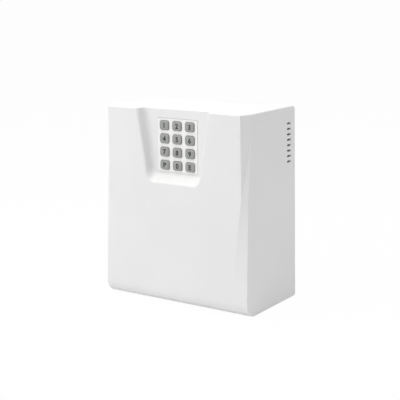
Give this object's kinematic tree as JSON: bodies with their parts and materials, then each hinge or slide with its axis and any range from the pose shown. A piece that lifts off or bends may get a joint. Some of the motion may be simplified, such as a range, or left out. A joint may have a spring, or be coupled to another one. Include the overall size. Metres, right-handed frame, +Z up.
{
  "type": "alarm keypad panel",
  "caption": "Wall-mounted alarm panel: deep moulded cover with a recessed rubber keypad and side vents, hinged on a back plate that holds the battery, transformer and control board.",
  "frame": {"origin": "on the wall plane, at the middle of the panel's width and height", "axes": "+X to the panel's right seen from the front, +Y towards the wall, +Z up"},
  "size_m": [0.2068, 0.112, 0.234],
  "materials": {
    "cover_shell": "fine moulded texture, white ABS",
    "fascia_plastic": "smooth white insert",
    "key_rubber": "grey silicone keys with dark legends",
    "silicone_web": "translucent grey silicone",
    "circuit_board": "green solder mask with traces",
    "steel_screw": "zinc plated",
    "black_plastic": "moulded black",
    "ribbon_grey": "flat cable, ribbed",
    "back_plastic": "white ABS",
    "grommet_rubber": "black rubber",
    "battery_case": "dark ABS case",
    "terminal_metal": "tinned brass tabs",
    "strap_steel": "zinc plated strip",
    "core_steel": "varnished laminations",
    "winding_tape": "amber wrapping tape",
    "frame_steel": "zinc plated bracket",
    "block_white": "off-white polyamide",
    "terminal_green": "green terminal housing",
    "relay_blue": "blue relay case",
    "can_sleeve": "sleeved aluminium cans",
    "sink_aluminium": "extruded fins",
    "fuse_glass": "glass tube with metal caps",
    "lead_black": "PVC insulation",
    "lead_red": "PVC insulation",
    "lead_yellow": "PVC insulation",
    "lead_brown": "PVC insulation",
    "button_red": "plunger"
  },
  "bodies": {
    "base": {"back_plate": "back_plastic", "battery": "battery_case", "battery_lead_black": "lead_black", "battery_lead_red": "lead_red", "battery_strap": "strap_steel", "battery_terminals": "terminal_metal", "board_header": "black_plastic", "board_screws": "steel_screw", "cable_grommet": "grommet_rubber", "capacitors": "can_sleeve", "cover_screws": "steel_screw", "fuse": "fuse_glass", "fuse_holder": "terminal_metal", "heat_sink": "sink_aluminium", "main_board": "circuit_board", "mains_block": "block_white", "mains_block_screws": "steel_screw", "mains_leads": "lead_brown", "microcontroller": "black_plastic", "regulator": "black_plastic", "relay": "relay_blue", "strap_screws": "steel_screw", "tamper_screws": "steel_screw", "tamper_switch": "black_plastic", "terminal_screws": "steel_screw", "terminal_strips": "terminal_green", "transformer_core": "core_steel", "transformer_frame": "frame_steel", "transformer_leads": "lead_yellow", "transformer_screws": "steel_screw", "transformer_winding": "winding_tape"},
    "cover": {"front_cover": "cover_shell", "keypad_fascia": "fascia_plastic", "key_mat": "silicone_web", "keypad_board": "circuit_board", "keypad_screws": "steel_screw", "keypad_beeper": "black_plastic", "ribbon_socket": "black_plastic", "ribbon_cable": "ribbon_grey", "ribbon_plug": "black_plastic"},
    "key_1": {"key_1": "key_rubber"},
    "key_2": {"key_2": "key_rubber"},
    "key_3": {"key_3": "key_rubber"},
    "key_4": {"key_4": "key_rubber"},
    "key_5": {"key_5": "key_rubber"},
    "key_6": {"key_6": "key_rubber"},
    "key_7": {"key_7": "key_rubber"},
    "key_8": {"key_8": "key_rubber"},
    "key_9": {"key_9": "key_rubber"},
    "key_program": {"key_program": "key_rubber"},
    "key_0": {"key_0": "key_rubber"},
    "key_enter": {"key_enter": "key_rubber"},
    "tamper_plunger": {"tamper_plunger": "button_red"}
  },
  "joints": [
    {"name": "cover_hinge", "type": "hinge", "parent": "base", "child": "cover", "pos_m": [0, -0.005, 0.112], "axis": [-1, 0, 0], "range_deg": [0, 75]},
    {"name": "key_1_press", "type": "slide", "parent": "cover", "child": "key_1", "axis": [0, 1, 0], "range_m": [0, 0.0012], "stiffness_N_per_m": 1250, "springref_m": -0.0002},
    {"name": "key_2_press", "type": "slide", "parent": "cover", "child": "key_2", "axis": [0, 1, 0], "range_m": [0, 0.0012], "stiffness_N_per_m": 1250, "springref_m": -0.0002},
    {"name": "key_3_press", "type": "slide", "parent": "cover", "child": "key_3", "axis": [0, 1, 0], "range_m": [0, 0.0012], "stiffness_N_per_m": 1250, "springref_m": -0.0002},
    {"name": "key_4_press", "type": "slide", "parent": "cover", "child": "key_4", "axis": [0, 1, 0], "range_m": [0, 0.0012], "stiffness_N_per_m": 1250, "springref_m": -0.0002},
    {"name": "key_5_press", "type": "slide", "parent": "cover", "child": "key_5", "axis": [0, 1, 0], "range_m": [0, 0.0012], "stiffness_N_per_m": 1250, "springref_m": -0.0002},
    {"name": "key_6_press", "type": "slide", "parent": "cover", "child": "key_6", "axis": [0, 1, 0], "range_m": [0, 0.0012], "stiffness_N_per_m": 1250, "springref_m": -0.0002},
    {"name": "key_7_press", "type": "slide", "parent": "cover", "child": "key_7", "axis": [0, 1, 0], "range_m": [0, 0.0012], "stiffness_N_per_m": 1250, "springref_m": -0.0002},
    {"name": "key_8_press", "type": "slide", "parent": "cover", "child": "key_8", "axis": [0, 1, 0], "range_m": [0, 0.0012], "stiffness_N_per_m": 1250, "springref_m": -0.0002},
    {"name": "key_9_press", "type": "slide", "parent": "cover", "child": "key_9", "axis": [0, 1, 0], "range_m": [0, 0.0012], "stiffness_N_per_m": 1250, "springref_m": -0.0002},
    {"name": "key_program_press", "type": "slide", "parent": "cover", "child": "key_program", "axis": [0, 1, 0], "range_m": [0, 0.0012], "stiffness_N_per_m": 1250, "springref_m": -0.0002},
    {"name": "key_0_press", "type": "slide", "parent": "cover", "child": "key_0", "axis": [0, 1, 0], "range_m": [0, 0.0012], "stiffness_N_per_m": 1250, "springref_m": -0.0002},
    {"name": "key_enter_press", "type": "slide", "parent": "cover", "child": "key_enter", "axis": [0, 1, 0], "range_m": [0, 0.0012], "stiffness_N_per_m": 1250, "springref_m": -0.0002},
    {"name": "tamper_press", "type": "slide", "parent": "base", "child": "tamper_plunger", "axis": [0, 0, 1], "range_m": [0, 0.0008], "stiffness_N_per_m": 600, "springref_m": -0.001}
  ]
}
